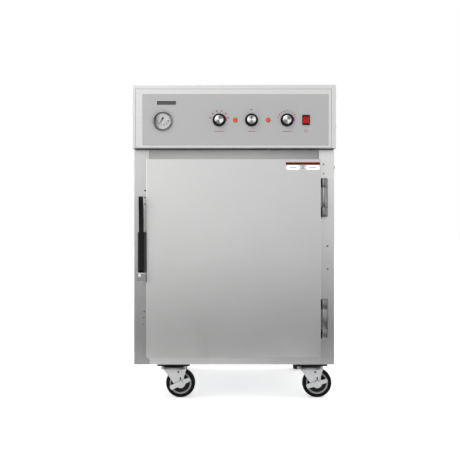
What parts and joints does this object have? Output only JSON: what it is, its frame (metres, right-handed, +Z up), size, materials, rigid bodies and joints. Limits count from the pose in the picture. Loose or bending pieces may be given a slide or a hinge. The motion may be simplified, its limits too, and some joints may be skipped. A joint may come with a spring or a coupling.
{
  "type": "proofing cabinet",
  "caption": "Insulated dough proofing cabinet on swivel casters, with a hinged overlay door, long latch lever, pan slides and a control head.",
  "frame": {"origin": "On the floor under the middle of the cabinet", "axes": "+Z up, front (door and controls) towards -Y, +X to the right as seen from the front"},
  "size_m": [0.6047, 0.831, 0.939],
  "materials": {
    "brushed_steel": "brushed",
    "galvanised_steel": "matte",
    "polished_steel": "polished",
    "grey_overlay": "satin print",
    "black_plastic": "satin",
    "red_plastic": "lit, translucent",
    "orange_plastic": "lit, translucent",
    "white_dial": "matte",
    "black_paint": "matte",
    "clear_glass": "clear",
    "insulation": "fibrous",
    "gasket_rubber": "matte",
    "caster_tyre": "satin"
  },
  "bodies": {
    "cabinet": {"air_heater": "polished_steel", "air_thermostat": "black_plastic", "base_tray": "galvanised_steel", "bottom_rail": "brushed_steel", "caster_plates": "black_paint", "control_panel": "brushed_steel", "cord_gland": "black_plastic", "fan_motor": "black_paint", "fan_plenum": "brushed_steel", "fascia_overlay": "grey_overlay", "frame_screws": "polished_steel", "head_floor": "galvanised_steel", "head_hood": "brushed_steel", "hinge_frame_leaves": "polished_steel", "humidity_thermostat": "black_plastic", "indicator_lamps": "orange_plastic", "inner_liner": "brushed_steel", "latch_strike": "polished_steel", "left_pan_rack": "brushed_steel", "left_side_panel": "brushed_steel", "mode_switch": "black_plastic", "power_switch_body": "black_plastic", "rear_panel": "galvanised_steel", "right_pan_rack": "brushed_steel", "right_side_panel": "brushed_steel", "side_vent_plate": "brushed_steel", "thermometer_case": "polished_steel", "thermometer_dial": "white_dial", "thermometer_lens": "clear_glass", "top_deck": "galvanised_steel", "top_rail": "brushed_steel", "wall_insulation": "insulation", "water_heater": "polished_steel", "water_pan": "brushed_steel"},
    "door": {"door_outer_skin": "brushed_steel", "door_inner_pan": "brushed_steel", "door_insulation": "insulation", "door_gasket": "gasket_rubber", "hinge_door_leaves": "brushed_steel", "hinge_pins": "polished_steel", "latch_body": "polished_steel", "latch_shroud": "black_plastic"},
    "latch_lever": {"latch_lever": "black_plastic"},
    "left_knob": {"left_knob": "black_plastic"},
    "centre_knob": {"centre_knob": "black_plastic"},
    "right_knob": {"right_knob": "black_plastic"},
    "power_rocker": {"power_rocker": "red_plastic"},
    "thermometer_needle": {"thermometer_needle": "black_paint"},
    "fan_wheel": {"fan_wheel": "galvanised_steel"},
    "vent_slide": {"vent_slide": "brushed_steel"},
    "front_left_fork": {"front_left_fork": "polished_steel"},
    "front_left_wheel": {"front_left_wheel": "caster_tyre"},
    "front_left_brake": {"front_left_brake": "polished_steel"},
    "front_right_fork": {"front_right_fork": "polished_steel"},
    "front_right_wheel": {"front_right_wheel": "caster_tyre"},
    "front_right_brake": {"front_right_brake": "polished_steel"},
    "rear_left_fork": {"rear_left_fork": "polished_steel"},
    "rear_left_wheel": {"rear_left_wheel": "caster_tyre"},
    "rear_right_fork": {"rear_right_fork": "polished_steel"},
    "rear_right_wheel": {"rear_right_wheel": "caster_tyre"}
  },
  "joints": [
    {"name": "door_hinge", "type": "hinge", "parent": "cabinet", "child": "door", "pos_m": [0.266, -0.366, 0.43], "axis": [0, 0, 1], "range_deg": [0, 180]},
    {"name": "latch_pull", "type": "hinge", "parent": "door", "child": "latch_lever", "pos_m": [-0.2726, -0.381, 0.372], "axis": [1, 0, 0], "range_deg": [0, 22], "stiffness_Nm_per_rad": 1.5, "springref_deg": -8.59},
    {"name": "air_knob_turn", "type": "hinge", "parent": "cabinet", "child": "left_knob", "pos_m": [-0.0446, -0.38, 0.8348], "axis": [0, 1, 0], "range_deg": [0, 270]},
    {"name": "mode_knob_turn", "type": "hinge", "parent": "cabinet", "child": "centre_knob", "pos_m": [0.0508, -0.38, 0.8348], "axis": [0, 1, 0], "range_deg": [-60, 60]},
    {"name": "humidity_knob_turn", "type": "hinge", "parent": "cabinet", "child": "right_knob", "pos_m": [0.1553, -0.38, 0.8348], "axis": [0, 1, 0], "range_deg": [0, 270]},
    {"name": "rocker_tilt", "type": "hinge", "parent": "cabinet", "child": "power_rocker", "pos_m": [0.2114, -0.3734, 0.8348], "axis": [1, 0, 0], "range_deg": [0, 12]},
    {"name": "needle_swing", "type": "hinge", "parent": "cabinet", "child": "thermometer_needle", "pos_m": [-0.2109, -0.374, 0.84], "axis": [0, 1, 0], "range_deg": [-96, 34]},
    {"name": "fan_spin", "type": "hinge", "parent": "cabinet", "child": "fan_wheel", "pos_m": [0, 0.06, 0.7], "axis": [0, 0, 1], "continuous": true},
    {"name": "vent_slide_travel", "type": "slide", "parent": "cabinet", "child": "vent_slide", "axis": [0, 0, -1], "range_m": [0, 0.02]},
    {"name": "front_left_swivel", "type": "hinge", "parent": "cabinet", "child": "front_left_fork", "pos_m": [-0.1835, -0.256, 0.0955], "axis": [0, 0, 1], "continuous": true},
    {"name": "front_left_roll", "type": "hinge", "parent": "front_left_fork", "child": "front_left_wheel", "pos_m": [-0.1635, -0.256, 0.0445], "axis": [0, 1, 0], "continuous": true},
    {"name": "front_left_brake_press", "type": "hinge", "parent": "front_left_fork", "child": "front_left_brake", "pos_m": [-0.1635, -0.256, 0.0445], "axis": [0, 1, 0], "range_deg": [0, 20]},
    {"name": "front_right_swivel", "type": "hinge", "parent": "cabinet", "child": "front_right_fork", "pos_m": [0.233, -0.256, 0.0955], "axis": [0, 0, 1], "continuous": true},
    {"name": "front_right_roll", "type": "hinge", "parent": "front_right_fork", "child": "front_right_wheel", "pos_m": [0.253, -0.256, 0.0445], "axis": [0, 1, 0], "continuous": true},
    {"name": "front_right_brake_press", "type": "hinge", "parent": "front_right_fork", "child": "front_right_brake", "pos_m": [0.253, -0.256, 0.0445], "axis": [0, 1, 0], "range_deg": [0, 20]},
    {"name": "rear_left_swivel", "type": "hinge", "parent": "cabinet", "child": "rear_left_fork", "pos_m": [-0.1835, 0.345, 0.0955], "axis": [0, 0, 1], "continuous": true},
    {"name": "rear_left_roll", "type": "hinge", "parent": "rear_left_fork", "child": "rear_left_wheel", "pos_m": [-0.1835, 0.365, 0.0445], "axis": [-1, 0, 0], "continuous": true},
    {"name": "rear_right_swivel", "type": "hinge", "parent": "cabinet", "child": "rear_right_fork", "pos_m": [0.233, 0.345, 0.0955], "axis": [0, 0, 1], "continuous": true},
    {"name": "rear_right_roll", "type": "hinge", "parent": "rear_right_fork", "child": "rear_right_wheel", "pos_m": [0.233, 0.365, 0.0445], "axis": [-1, 0, 0], "continuous": true}
  ]
}
